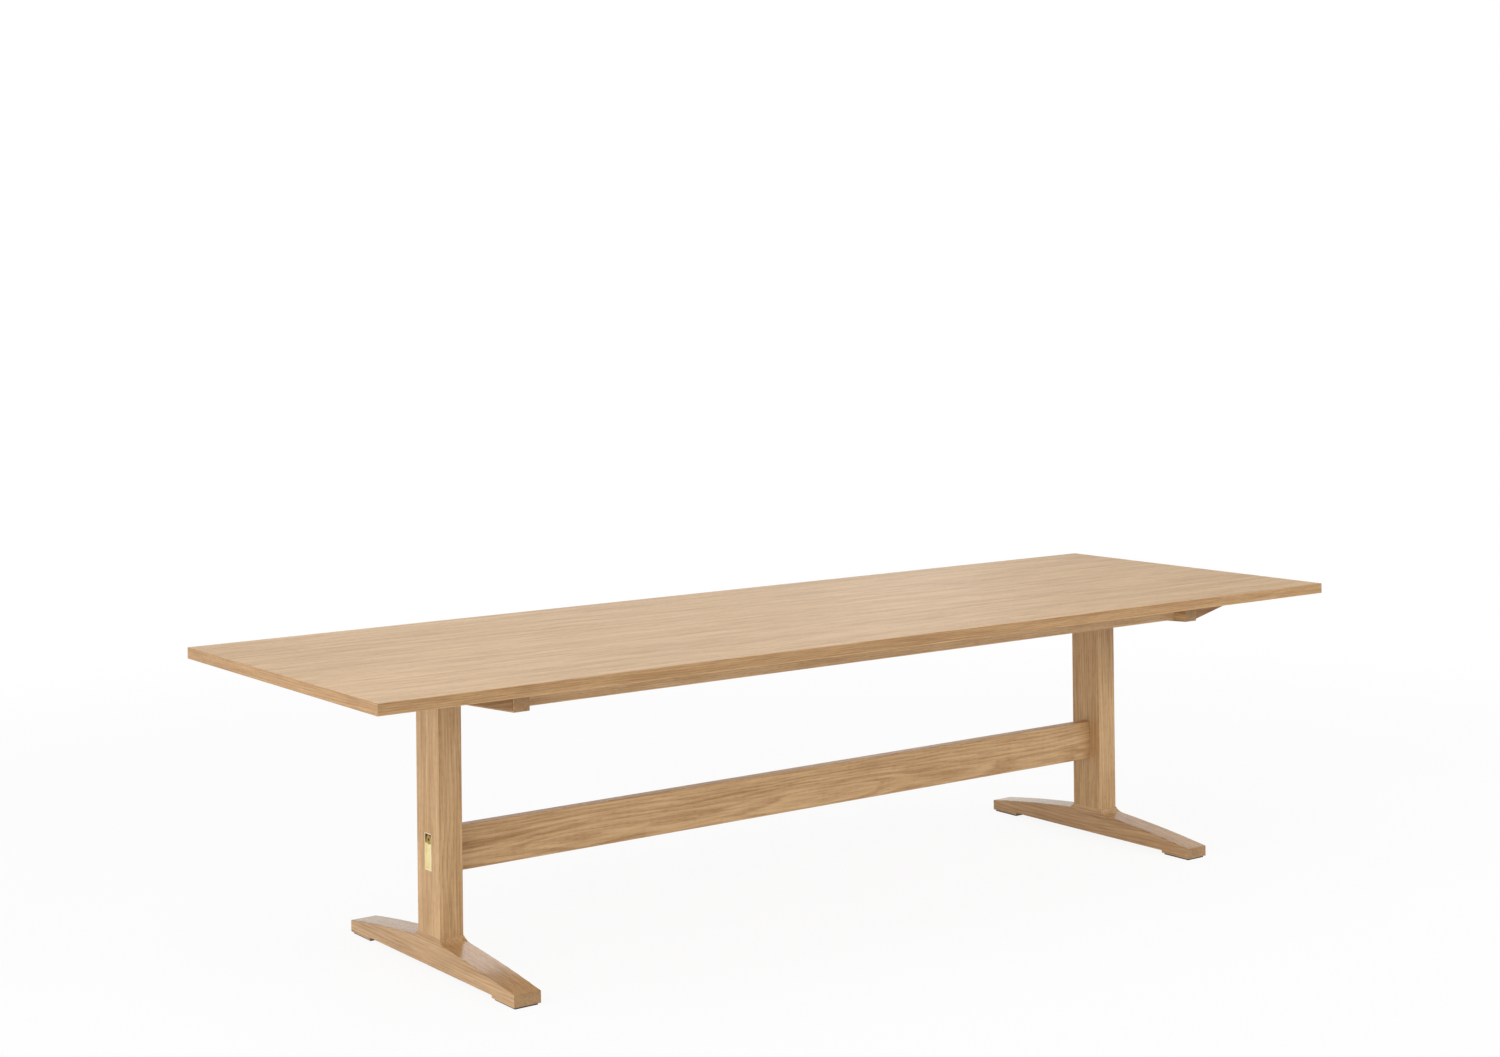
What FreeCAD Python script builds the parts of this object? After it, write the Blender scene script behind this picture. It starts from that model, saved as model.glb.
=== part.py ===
"""Oak trestle dining table: a veneered top on two post-and-foot trestles joined by a stretcher.

Millimetres. The origin is on the floor under the middle of the table, X runs along the length from left to
right, Y from the front to the back and Z up. A piece of a trestle is drawn about the trestle's own upright
centre line, with its outer side towards -X, and is turned half round for the right-hand trestle.
"""
import FreeCAD
import Part
import Sketcher
import math
import os
import re

SIZES = {
    # Top
    "table_height": 730,
    "top_length": 3000,
    "top_width": 950,
    "core_thickness": 24,
    "veneer_thickness": 1.5,
    "lipping_width": 16,
    "top_arris": 1.2,
    # Posts
    "end_overhang": 417.5,
    "post_depth": 63,
    "post_breadth": 104,
    "post_arris": 2.5,
    "tenon_thickness": 26,
    "tenon_breadth": 74,
    "tenon_length": 40,
    # Feet
    "foot_length": 758,
    "foot_width": 70,
    "foot_height": 76.5,
    "foot_end_height": 28,
    "shoulder_height": 63.5,
    "cove_run": 20,
    "cove_radius": 22,
    "arm_radius": 4200,
    "bevel_drop": 11,
    "relief_depth": 6,
    "pad_length": 95,
    "foot_arris": 2.0,
    # Glides
    "glide_thickness": 4.5,
    "glide_inset": 5,
    "glide_length": 85,
    "glide_screw_spacing": 46,
    "glide_screw_bite": 16,
    "glide_screw_diameter": 4,
    "glide_head_diameter": 8,
    "glide_head_height": 2,
    "glide_head_sink": 1,
    # Bearers
    "bearer_length": 736,
    "bearer_width": 42,
    "bearer_depth": 72,
    "bearer_end_depth": 53.5,
    "bearer_landing": 10,
    "bearer_arris": 1,
    # Rails and brackets, with their stub tenons in the bearers
    "rail_thickness": 28,
    "rail_depth": 52,
    "rail_setback": 42,
    "bracket_thickness": 28,
    "bracket_length": 190,
    "bracket_depth": 50,
    "bracket_tip_depth": 5.5,
    "bracket_setback": 3,
    "rail_arris": 1,
    "stub_length": 12,
    "stub_thickness": 12,
    "stub_height": 32,
    "stub_drop": 10,
    # Stretcher
    "stretcher_height": 105,
    "stretcher_thickness": 28,
    "stretcher_clearance": 221,
    "stretcher_arris": 2.0,
    "stretcher_tenon_length": 30,
    "stretcher_tenon_thickness": 18,
    "stretcher_tenon_height": 85,
    # Brass pockets, bolts, washers and barrel nuts
    "pocket_width": 30,
    "pocket_height": 86,
    "pocket_depth": 10,
    "pocket_floor": 2,
    "pocket_wall": 1.5,
    "bolt_rise": 28,
    "bolt_diameter": 8,
    "bolt_head_diameter": 22,
    "bolt_head_height": 6.5,
    "bolt_socket_width": 6,
    "bolt_socket_depth": 4,
    "bolt_overrun": 8,
    "washer_diameter": 25,
    "washer_thickness": 1.6,
    "nut_diameter": 13,
    "nut_length": 20,
    "nut_sink": 2,
    "nut_distance": 45,
    # Screws into the top
    "screw_diameter": 6,
    "screw_head_diameter": 12,
    "screw_head_height": 4,
    "screw_bite": 18,
    "bearer_grip": 35,
    "rail_grip": 35,
    "bracket_grip": 20,
    "bearer_screw_inner": 130,
    "bearer_screw_outer": 255,
    "rail_screw_inner": 225,
    "rail_screw_outer": 675,
    "bracket_screw_inner": 35,
    "bracket_screw_outer": 100,
    # Clearances
    "joint_clearance": 0.1,
    "end_gap": 1,
    "hole_clearance": 0.3,
    "thread_clearance": 0.05,
    "head_clearance": 0.5,
}

# Places that follow from the sizes
CORE_UNDERSIDE = "(table_height - veneer_thickness - core_thickness)"
TOP_UNDERSIDE = f"({CORE_UNDERSIDE} - veneer_thickness)"
FOOT_TOP = "(glide_thickness + foot_height)"
POST_TOP = f"({TOP_UNDERSIDE} - bearer_depth)"
TRESTLE_SPACING = "(top_length - 2*end_overhang)"
TRESTLE_X = f"({TRESTLE_SPACING}/2)"
RAIL_Y = "(bearer_length/2 - rail_setback - rail_thickness/2)"
BRACKET_Y = "(bearer_length/2 - bracket_setback - bracket_thickness/2)"
STUB_MIDDLE = f"({TOP_UNDERSIDE} - stub_drop - stub_height/2)"
RAIL_LENGTH = f"({TRESTLE_SPACING} - bearer_width)"
STRETCHER_LENGTH = f"({TRESTLE_SPACING} - post_depth)"
STRETCHER_MIDDLE = "(stretcher_clearance + stretcher_height/2)"
POCKET_X = "(-post_depth/2)"
BOLT_Z = f"({STRETCHER_MIDDLE} + bolt_rise)"
WASHER_X = f"({POCKET_X} + pocket_depth - washer_thickness)"
NUT_X = "(post_depth/2 + nut_distance)"
GLIDE_Y = "(foot_length/2 - glide_inset - glide_length/2)"
HOLE_RADIUS = "(screw_diameter/2 + hole_clearance)"
PILOT_RADIUS = "(screw_diameter/2 + thread_clearance)"
COUNTERBORE_RADIUS = "(screw_head_diameter/2 + head_clearance)"
BOLT_HOLE_RADIUS = "(bolt_diameter/2 + hole_clearance)"

# Each trestle with its side of the table and its turn, and each long edge with its side
TRESTLES = (("left", -1, 0), ("right", 1, 180))
EDGES = (("front", -1), ("back", 1))
UP = FreeCAD.Vector(0, 0, 1)
ALONG = FreeCAD.Vector(1, 0, 0)
# Heights closer than this count as level
LEVEL = 0.1

doc = FreeCAD.newDocument("trestle_table")
sheet = doc.addObject("Spreadsheet::Sheet", "sizes")
for row, (alias, number) in enumerate(SIZES.items(), 1):
    sheet.set(f"A{row}", alias)
    sheet.set(f"B{row}", str(number))
    sheet.setAlias(f"B{row}", alias)
doc.recompute()

bodies = []


def bind(text):
    """Give the expression in which each size is read from the sheet."""
    return re.sub(r"[a-z]+(?:_[a-z]+)+", lambda word: "sizes." + word.group(0), text)


def value(text):
    """Work out an expression of the sizes as a number."""
    return float(sheet.evalExpression(bind(text)))


def new_body(label, x="0", y="0", turn=0):
    """Start a piece, turned about the vertical and placed from the sizes."""
    body = doc.addObject("PartDesign::Body", label)
    body.Label = label
    body.Placement = FreeCAD.Placement(FreeCAD.Vector(), FreeCAD.Rotation(UP, turn))
    body.setExpression("Placement.Base.x", bind(x))
    body.setExpression("Placement.Base.y", bind(y))
    bodies.append(body)
    return body


def new_sketch(body, role, offset="0"):
    """Lay a sketch on an origin plane of the body, moved along the plane's normal."""
    plane = next(item for item in body.Origin.OriginFeatures if item.Role == role)
    sketch = body.newObject("Sketcher::SketchObject", body.Name + "_sketch")
    sketch.AttachmentSupport = (plane, [""])
    sketch.MapMode = "FlatFace"
    sketch.setExpression("AttachmentOffset.Base.z", bind(offset))
    return sketch


def hold(sketch, geometry, end, x, y):
    """Hold one point of a sketch's geometry at a place given by the sizes."""
    for kind, text in (("DistanceX", x), ("DistanceY", y)):
        index = sketch.addConstraint(Sketcher.Constraint(kind, -1, 1, geometry, end, value(text)))
        sketch.setExpression(f"Constraints[{index}]", bind(text))


def hold_radius(sketch, geometry, radius):
    """Hold the radius of a sketch's arc or circle at a size."""
    index = sketch.addConstraint(Sketcher.Constraint("Radius", geometry, value(radius)))
    sketch.setExpression(f"Constraints[{index}]", bind(radius))


def arc_between(start, stop, radius, turn):
    """Make the short arc between two points that turns left (1) or right (-1) on the way."""
    chord = stop - start
    across = FreeCAD.Vector(-chord.y, chord.x, 0).normalize()
    centre = (start + stop) * 0.5 + across * turn * math.sqrt(radius ** 2 - (chord.Length / 2) ** 2)
    first, last = (start, stop) if turn > 0 else (stop, start)
    angles = [math.atan2(point.y - centre.y, point.x - centre.x) for point in (first, last)]
    return Part.ArcOfCircle(Part.Circle(centre, UP, radius), *angles)


def outline(sketch, points):
    """Draw a closed outline through points (x, y), or (x, y, radius, turn) where an arc leads to the next."""
    base = sketch.GeometryCount
    count = len(points)
    places = [FreeCAD.Vector(value(point[0]), value(point[1]), 0) for point in points]
    ends = []
    for index, point in enumerate(points):
        start = places[index]
        stop = places[(index + 1) % count]
        if len(point) == 2:
            sketch.addGeometry(Part.LineSegment(start, stop))
            ends.append((1, 2))
        else:
            sketch.addGeometry(arc_between(start, stop, value(point[2]), point[3]))
            ends.append((1, 2) if point[3] > 0 else (2, 1))
    for index in range(count):
        after = (index + 1) % count
        sketch.addConstraint(
            Sketcher.Constraint("Coincident", base + index, ends[index][1], base + after, ends[after][0]))
    for index, point in enumerate(points):
        hold(sketch, base + index, ends[index][0], point[0], point[1])
        if len(point) > 2:
            hold_radius(sketch, base + index, point[2])


def rectangle(sketch, width, height, x="0", y="0"):
    """Draw a rectangle about a middle point."""
    corners = ((-1, -1), (1, -1), (1, 1), (-1, 1))
    outline(sketch, [(f"{x} + {i}*({width})/2", f"{y} + {j}*({height})/2") for i, j in corners])


def circle(sketch, radius, x="0", y="0"):
    """Draw a circle about a middle point."""
    middle = FreeCAD.Vector(value(x), value(y), 0)
    geometry = sketch.addGeometry(Part.Circle(middle, UP, value(radius)))
    hold(sketch, geometry, 3, x, y)
    hold_radius(sketch, geometry, radius)


def circles(sketch, radius, places):
    """Draw alike circles at a list of places."""
    for x, y in places:
        circle(sketch, radius, x, y)


def pad(body, sketch, length, symmetric=False):
    """Raise a sketch to a solid, along its normal or to both sides of it."""
    feature = body.newObject("PartDesign::Pad", body.Name + "_pad")
    feature.Profile = sketch
    feature.SideType = "Symmetric" if symmetric else "One side"
    feature.setExpression("Length", bind(length))
    doc.recompute()


def cut(body, sketch, length=None, along=False, symmetric=False):
    """Sink a sketch into the body, against its normal or along it, to a depth or right through."""
    before = body.Shape.Volume
    feature = body.newObject("PartDesign::Pocket", body.Name + "_cut")
    feature.Profile = sketch
    feature.Reversed = along
    feature.SideType = "Symmetric" if symmetric else "One side"
    if length is None:
        feature.Type = "ThroughAll"
    else:
        feature.setExpression("Length", bind(length))
    doc.recompute()
    if body.Shape.Volume >= before:
        raise RuntimeError(f"{body.Label}: a cut removes nothing")


def soften(body, radius, chosen):
    """Round the edges of the body that a test chooses."""
    base = body.Tip
    edges = enumerate(base.Shape.Edges, 1)
    names = [f"Edge{index}" for index, edge in edges if chosen(edge)]
    feature = body.newObject("PartDesign::Fillet", body.Name + "_arris")
    feature.Base = (base, names)
    feature.setExpression("Radius", bind(radius))
    doc.recompute()


def runs(edge, axis):
    """Tell whether an edge is a straight line along an axis."""
    direction = edge.lastVertex().Point - edge.firstVertex().Point
    return edge.Curve.TypeId == "Part::GeomLine" and direction.cross(axis).Length < LEVEL


def below(edge, height):
    """Tell whether an edge reaches below a height."""
    return edge.BoundBox.ZMin < height - LEVEL


def both(text):
    """Give a place on the front and on the back side."""
    return [f"{side}*{text}" for _, side in EDGES]


def bearer_screw_places():
    """List the places of a bearer's screws about its own trestle."""
    return [("0", y) for along in ("bearer_screw_inner", "bearer_screw_outer") for y in both(along)]


def rail_screw_places():
    """List the places of a rail's screws about the rail's middle."""
    return [(x, "0") for along in ("rail_screw_inner", "rail_screw_outer") for x in both(along)]


def bracket_screw_places():
    """List the places of a bracket's screws from its root at the bearer."""
    return [(f"-{along}", "0") for along in ("bracket_screw_inner", "bracket_screw_outer")]


def bracket_root(side):
    """Give the X of the bearer's outer face."""
    return f"{side}*({TRESTLE_X} + bearer_width/2)"


def top_screw_places():
    """List the places of all screws into the top by the kind of piece that they pass through."""
    bearer = [(f"{side}*{TRESTLE_X}", y) for _, side, _ in TRESTLES for _, y in bearer_screw_places()]
    rail = [(x, y) for y in both(RAIL_Y) for x, _ in rail_screw_places()]
    bracket = [(f"{bracket_root(side)} - {side}*({x})", y)
               for _, side, _ in TRESTLES for y in both(BRACKET_Y) for x, _ in bracket_screw_places()]
    return {"bearer": bearer, "rail": rail, "bracket": bracket}


def pilot_holes(body, floor, depth=None):
    """Bore the pilot holes of all screws into a layer of the top, upwards from its lower face."""
    sketch = new_sketch(body, "XY_Plane", floor)
    for places in top_screw_places().values():
        circles(sketch, PILOT_RADIUS, places)
    cut(body, sketch, depth, along=True)


def layer(label, floor, thickness, inset="0"):
    """Lay one flat sheet of the top."""
    body = new_body(label)
    sketch = new_sketch(body, "XY_Plane", floor)
    rectangle(sketch, f"top_length - 2*{inset}", f"top_width - 2*{inset}")
    pad(body, sketch, thickness)
    return body


def build_top():
    """Board between two veneers, with mitred solid lippings round the board."""
    core = layer("top_core", CORE_UNDERSIDE, "core_thickness", "lipping_width")
    pilot_holes(core, CORE_UNDERSIDE, "screw_bite + end_gap - veneer_thickness")

    veneer = layer("top_veneer", "table_height - veneer_thickness", "veneer_thickness")
    brim = value("table_height - veneer_thickness/2")
    soften(veneer, "top_arris", lambda edge: not below(edge, brim))

    underside = layer("underside_veneer", TOP_UNDERSIDE, "veneer_thickness")
    pilot_holes(underside, TOP_UNDERSIDE)

    for label, side in EDGES:
        lipping = new_body("lipping_" + label)
        outer = f"{side}*top_width/2"
        inner = f"{side}*(top_width/2 - lipping_width)"
        sketch = new_sketch(lipping, "XY_Plane", CORE_UNDERSIDE)
        outline(sketch, [("-top_length/2", outer), ("top_length/2", outer),
                         ("top_length/2 - lipping_width", inner), ("lipping_width - top_length/2", inner)])
        pad(lipping, sketch, "core_thickness")
    for label, side, _ in TRESTLES:
        lipping = new_body("lipping_" + label)
        outer = f"{side}*top_length/2"
        inner = f"{side}*(top_length/2 - lipping_width)"
        sketch = new_sketch(lipping, "XY_Plane", CORE_UNDERSIDE)
        outline(sketch, [(outer, "-top_width/2"), (outer, "top_width/2"),
                         (inner, "top_width/2 - lipping_width"), (inner, "lipping_width - top_width/2")])
        pad(lipping, sketch, "core_thickness")


def screw_holes(body, places, grip):
    """Bore clear holes for screws into the top, widened for their heads below the grip."""
    sketch = new_sketch(body, "XY_Plane", TOP_UNDERSIDE)
    circles(sketch, HOLE_RADIUS, places)
    cut(body, sketch)
    sketch = new_sketch(body, "XY_Plane", f"{TOP_UNDERSIDE} - {grip}")
    circles(sketch, COUNTERBORE_RADIUS, places)
    cut(body, sketch)


def stub_housings(body, x, y, along):
    """Sink housings for the stub tenons of two rails or brackets into one side of a bearer."""
    sketch = new_sketch(body, "YZ_Plane", x)
    for place in both(y):
        rectangle(sketch, "stub_thickness + 2*joint_clearance", "stub_height + 2*joint_clearance",
                  place, STUB_MIDDLE)
    cut(body, sketch, "stub_length + end_gap", along=along)


def build_bearer(label, side, turn):
    """Cross bearer on the post: level over the post, rising to the ends, open to the stub tenons."""
    body = new_body("bearer_" + label, f"{side}*{TRESTLE_X}", turn=turn)
    end = "bearer_length/2"
    landing = "(post_breadth/2 + bearer_landing)"
    tip = f"{TOP_UNDERSIDE} - bearer_end_depth"
    sketch = new_sketch(body, "YZ_Plane")
    outline(sketch, [(f"-{landing}", POST_TOP), (landing, POST_TOP), (end, tip), (end, TOP_UNDERSIDE),
                     (f"-{end}", TOP_UNDERSIDE), (f"-{end}", tip)])
    pad(body, sketch, "bearer_width", symmetric=True)
    soften(body, "bearer_arris", lambda edge: below(edge, value(TOP_UNDERSIDE)))

    sketch = new_sketch(body, "XY_Plane", POST_TOP)
    rectangle(sketch, "tenon_thickness + 2*joint_clearance", "tenon_breadth + 2*joint_clearance")
    cut(body, sketch, "tenon_length + end_gap", along=True)
    stub_housings(body, "bearer_width/2", RAIL_Y, along=False)
    stub_housings(body, "-bearer_width/2", BRACKET_Y, along=True)
    screw_holes(body, bearer_screw_places(), "bearer_grip")


def build_rail(label, side):
    """Long rail under the top, stub-tenoned into both bearers."""
    body = new_body("rail_" + label, y=f"{side}*{RAIL_Y}")
    sketch = new_sketch(body, "YZ_Plane")
    rectangle(sketch, "rail_thickness", "rail_depth", y=f"{TOP_UNDERSIDE} - rail_depth/2")
    pad(body, sketch, RAIL_LENGTH, symmetric=True)
    underneath = value(f"{TOP_UNDERSIDE} - rail_depth/2")
    soften(body, "rail_arris", lambda edge: runs(edge, ALONG) and below(edge, underneath))

    sketch = new_sketch(body, "YZ_Plane")
    rectangle(sketch, "stub_thickness", "stub_height", y=STUB_MIDDLE)
    pad(body, sketch, f"{RAIL_LENGTH} + 2*stub_length", symmetric=True)
    screw_holes(body, rail_screw_places(), "rail_grip")


def build_bracket(label, side, turn, edge_label, edge):
    """Tapered arm that runs outwards from the bearer and carries the end of the top."""
    body = new_body(f"bracket_{edge_label}_{label}", bracket_root(side), f"{edge}*{BRACKET_Y}", turn)
    sketch = new_sketch(body, "XZ_Plane")
    outline(sketch, [("0", TOP_UNDERSIDE), ("-bracket_length", TOP_UNDERSIDE),
                     ("-bracket_length", f"{TOP_UNDERSIDE} - bracket_tip_depth"),
                     ("0", f"{TOP_UNDERSIDE} - bracket_depth")])
    pad(body, sketch, "bracket_thickness", symmetric=True)
    soften(body, "rail_arris",
           lambda line: below(line, value(TOP_UNDERSIDE)) and line.BoundBox.XMin < -value("rail_arris"))

    sketch = new_sketch(body, "YZ_Plane")
    rectangle(sketch, "stub_thickness", "stub_height", y=STUB_MIDDLE)
    pad(body, sketch, "stub_length")
    screw_holes(body, bracket_screw_places(), "bracket_grip")


def build_post(label, side, turn):
    """Upright with a tenon at each end, a mortise for the stretcher and a recess for the brass pocket."""
    body = new_body("post_" + label, f"{side}*{TRESTLE_X}", turn=turn)
    sketch = new_sketch(body, "XY_Plane", FOOT_TOP)
    rectangle(sketch, "post_depth", "post_breadth")
    pad(body, sketch, f"{POST_TOP} - {FOOT_TOP}")
    soften(body, "post_arris", lambda edge: runs(edge, UP))

    sketch = new_sketch(body, "XY_Plane", f"{FOOT_TOP} - tenon_length")
    rectangle(sketch, "tenon_thickness", "tenon_breadth")
    pad(body, sketch, f"{POST_TOP} - {FOOT_TOP} + 2*tenon_length")

    sketch = new_sketch(body, "YZ_Plane", "post_depth/2")
    rectangle(sketch, "stretcher_tenon_thickness + 2*joint_clearance",
              "stretcher_tenon_height + 2*joint_clearance", y=STRETCHER_MIDDLE)
    cut(body, sketch, "stretcher_tenon_length + end_gap")
    sketch = new_sketch(body, "YZ_Plane", POCKET_X)
    rectangle(sketch, "pocket_width + 2*joint_clearance", "pocket_height + 2*joint_clearance",
              y=STRETCHER_MIDDLE)
    cut(body, sketch, "pocket_depth + pocket_floor", along=True)
    sketch = new_sketch(body, "YZ_Plane", POCKET_X)
    circle(sketch, BOLT_HOLE_RADIUS, y=BOLT_Z)
    cut(body, sketch, along=True)


def build_foot(label, side, turn):
    """Long arched foot with a raised seat for the post, hollowed between the pads at its ends."""
    body = new_body("foot_" + label, f"{side}*{TRESTLE_X}", turn=turn)
    end = "foot_length/2"
    pad_end = f"({end} - pad_length)"
    seat = "post_breadth/2"
    shoulder = f"({seat} + cove_run)"
    ground = "glide_thickness"
    hollow = f"{ground} + relief_depth"
    tip = f"{ground} + foot_end_height"
    neck = f"{ground} + shoulder_height"
    sketch = new_sketch(body, "YZ_Plane")
    outline(sketch, [(f"-{end}", ground), (f"-{pad_end}", ground), (f"-{pad_end}", hollow),
                     (pad_end, hollow), (pad_end, ground), (end, ground),
                     (end, tip, "arm_radius", 1), (shoulder, neck),
                     (f"-{shoulder}", neck, "arm_radius", 1), (f"-{end}", tip)])
    pad(body, sketch, "foot_width", symmetric=True)
    brow = value(tip)
    soften(body, "foot_arris", lambda edge: not below(edge, brow) and edge.BoundBox.YLength > LEVEL)

    sketch = new_sketch(body, "YZ_Plane")
    outline(sketch, [(f"-{shoulder}", f"{neck} - foot_arris"), (shoulder, f"{neck} - foot_arris"),
                     (shoulder, neck, "cove_radius", -1), (seat, FOOT_TOP),
                     (f"-{seat}", FOOT_TOP, "cove_radius", -1), (f"-{shoulder}", neck)])
    pad(body, sketch, "foot_width", symmetric=True)

    sketch = new_sketch(body, "XZ_Plane")
    for sign in (-1, 1):
        outline(sketch, [(f"{sign}*post_depth/2", FOOT_TOP),
                         (f"{sign}*foot_width/2", f"{FOOT_TOP} - bevel_drop"),
                         (f"{sign}*foot_width/2", FOOT_TOP)])
    cut(body, sketch, "foot_length", symmetric=True)
    sketch = new_sketch(body, "XY_Plane", FOOT_TOP)
    rectangle(sketch, "tenon_thickness + 2*joint_clearance", "tenon_breadth + 2*joint_clearance")
    cut(body, sketch, "tenon_length + end_gap")
    sketch = new_sketch(body, "XY_Plane", ground)
    for middle in both(GLIDE_Y):
        circles(sketch, "glide_screw_diameter/2 + thread_clearance", glide_screw_places(middle))
    cut(body, sketch, "glide_screw_bite + end_gap", along=True)


def glide_screw_places(middle):
    """List the places of the two screws of a glide about the glide's middle."""
    return [("0", f"{middle} + {sign}*glide_screw_spacing/2") for sign in (-1, 1)]


def build_glide(label, side, edge_label, edge):
    """Thin pad under the end of a foot, bored from below for its screws."""
    body = new_body(f"glide_{edge_label}_{label}", f"{side}*{TRESTLE_X}", f"{edge}*{GLIDE_Y}")
    sketch = new_sketch(body, "XY_Plane")
    rectangle(sketch, "foot_width - 2*glide_inset", "glide_length")
    pad(body, sketch, "glide_thickness")
    sketch = new_sketch(body, "XY_Plane")
    circles(sketch, "glide_screw_diameter/2 + hole_clearance", glide_screw_places("0"))
    cut(body, sketch, along=True)
    sketch = new_sketch(body, "XY_Plane")
    circles(sketch, "glide_head_diameter/2 + hole_clearance", glide_screw_places("0"))
    cut(body, sketch, "glide_head_sink + glide_head_height", along=True)


def build_stretcher():
    """Plank on edge between the posts, tenoned into both and bored for the bolts and their nuts."""
    body = new_body("stretcher")
    sketch = new_sketch(body, "YZ_Plane")
    rectangle(sketch, "stretcher_thickness", "stretcher_height", y=STRETCHER_MIDDLE)
    pad(body, sketch, STRETCHER_LENGTH, symmetric=True)
    soften(body, "stretcher_arris", lambda edge: runs(edge, ALONG))

    end = f"({STRETCHER_LENGTH}/2 + stretcher_tenon_length)"
    sketch = new_sketch(body, "YZ_Plane")
    rectangle(sketch, "stretcher_tenon_thickness", "stretcher_tenon_height", y=STRETCHER_MIDDLE)
    pad(body, sketch, f"2*{end}", symmetric=True)
    for _, side, _ in TRESTLES:
        sketch = new_sketch(body, "YZ_Plane", f"{side}*{end}")
        circle(sketch, BOLT_HOLE_RADIUS, y=BOLT_Z)
        depth = "stretcher_tenon_length + nut_distance + bolt_overrun + end_gap"
        cut(body, sketch, depth, along=side < 0)
    sketch = new_sketch(body, "XZ_Plane", "-stretcher_thickness/2")
    for _, side, _ in TRESTLES:
        circle(sketch, "nut_diameter/2 + joint_clearance", f"{side}*({TRESTLE_X} - {NUT_X})", BOLT_Z)
    cut(body, sketch, "nut_sink + nut_length + end_gap", along=True)


def build_brass_pocket(label, side, turn):
    """Brass box let into the outer face of a post, with its floor bored for the bolt."""
    body = new_body("brass_pocket_" + label, f"{side}*{TRESTLE_X}", turn=turn)
    sketch = new_sketch(body, "YZ_Plane", POCKET_X)
    rectangle(sketch, "pocket_width", "pocket_height", y=STRETCHER_MIDDLE)
    pad(body, sketch, "pocket_depth + pocket_floor")
    sketch = new_sketch(body, "YZ_Plane", POCKET_X)
    rectangle(sketch, "pocket_width - 2*pocket_wall", "pocket_height - 2*pocket_wall", y=STRETCHER_MIDDLE)
    cut(body, sketch, "pocket_depth", along=True)
    sketch = new_sketch(body, "YZ_Plane", POCKET_X)
    circle(sketch, BOLT_HOLE_RADIUS, y=BOLT_Z)
    cut(body, sketch, along=True)


def build_bolt(label, side, turn):
    """Socket-head bolt from the brass pocket through the post into the barrel nut, with its washer."""
    washer = new_body("bolt_washer_" + label, f"{side}*{TRESTLE_X}", turn=turn)
    sketch = new_sketch(washer, "YZ_Plane", WASHER_X)
    circle(sketch, "washer_diameter/2", y=BOLT_Z)
    circle(sketch, BOLT_HOLE_RADIUS, y=BOLT_Z)
    pad(washer, sketch, "washer_thickness")

    bolt = new_body("stretcher_bolt_" + label, f"{side}*{TRESTLE_X}", turn=turn)
    sketch = new_sketch(bolt, "YZ_Plane", f"{WASHER_X} - bolt_head_height")
    circle(sketch, "bolt_head_diameter/2", y=BOLT_Z)
    pad(bolt, sketch, "bolt_head_height")
    sketch = new_sketch(bolt, "YZ_Plane", WASHER_X)
    circle(sketch, "bolt_diameter/2", y=BOLT_Z)
    pad(bolt, sketch, f"{NUT_X} + bolt_overrun - {WASHER_X}")
    sketch = new_sketch(bolt, "YZ_Plane", f"{WASHER_X} - bolt_head_height")
    corners = [math.radians(60 * step) for step in range(6)]
    outline(sketch, [(f"{math.cos(angle):.6f}*bolt_socket_width/sqrt(3)",
                      f"{BOLT_Z} + {math.sin(angle):.6f}*bolt_socket_width/sqrt(3)") for angle in corners])
    cut(bolt, sketch, "bolt_socket_depth", along=True)

    nut = new_body("barrel_nut_" + label, f"{side}*{TRESTLE_X}", turn=turn)
    back = "stretcher_thickness/2 - nut_sink"
    start = f"{back} - nut_length" if side > 0 else f"-({back})"
    sketch = new_sketch(nut, "XZ_Plane", start)
    circle(sketch, "nut_diameter/2", NUT_X, BOLT_Z)
    pad(nut, sketch, "nut_length")
    sketch = new_sketch(nut, "YZ_Plane")
    circle(sketch, "bolt_diameter/2 + thread_clearance", y=BOLT_Z)
    cut(nut, sketch, along=True)


def build_top_screws(kind):
    """One group of alike screws up into the top."""
    body = new_body(kind + "_screws")
    places = top_screw_places()[kind]
    seat = f"{TOP_UNDERSIDE} - {kind}_grip"
    sketch = new_sketch(body, "XY_Plane", f"{seat} - screw_head_height")
    circles(sketch, "screw_head_diameter/2", places)
    pad(body, sketch, "screw_head_height")
    sketch = new_sketch(body, "XY_Plane", seat)
    circles(sketch, "screw_diameter/2", places)
    pad(body, sketch, f"{kind}_grip + screw_bite")


def build_glide_screws():
    """The group of small screws that hold the glides under the feet."""
    body = new_body("glide_screws")
    places = [(f"{side}*{TRESTLE_X}", y) for _, side, _ in TRESTLES
              for middle in both(GLIDE_Y) for _, y in glide_screw_places(middle)]
    sketch = new_sketch(body, "XY_Plane", "glide_head_sink")
    circles(sketch, "glide_head_diameter/2", places)
    pad(body, sketch, "glide_head_height")
    seat = "(glide_head_sink + glide_head_height)"
    sketch = new_sketch(body, "XY_Plane", seat)
    circles(sketch, "glide_screw_diameter/2", places)
    pad(body, sketch, f"glide_thickness + glide_screw_bite - {seat}")


def build_table():
    """Build every piece of the table."""
    build_top()
    for label, side, turn in TRESTLES:
        build_foot(label, side, turn)
        build_post(label, side, turn)
        build_bearer(label, side, turn)
        build_brass_pocket(label, side, turn)
        build_bolt(label, side, turn)
        for edge_label, edge in EDGES:
            build_bracket(label, side, turn, edge_label, edge)
            build_glide(label, side, edge_label, edge)
    for label, side in EDGES:
        build_rail(label, side)
    build_stretcher()
    for kind in ("bearer", "rail", "bracket"):
        build_top_screws(kind)
    build_glide_screws()
    doc.recompute()


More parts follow.
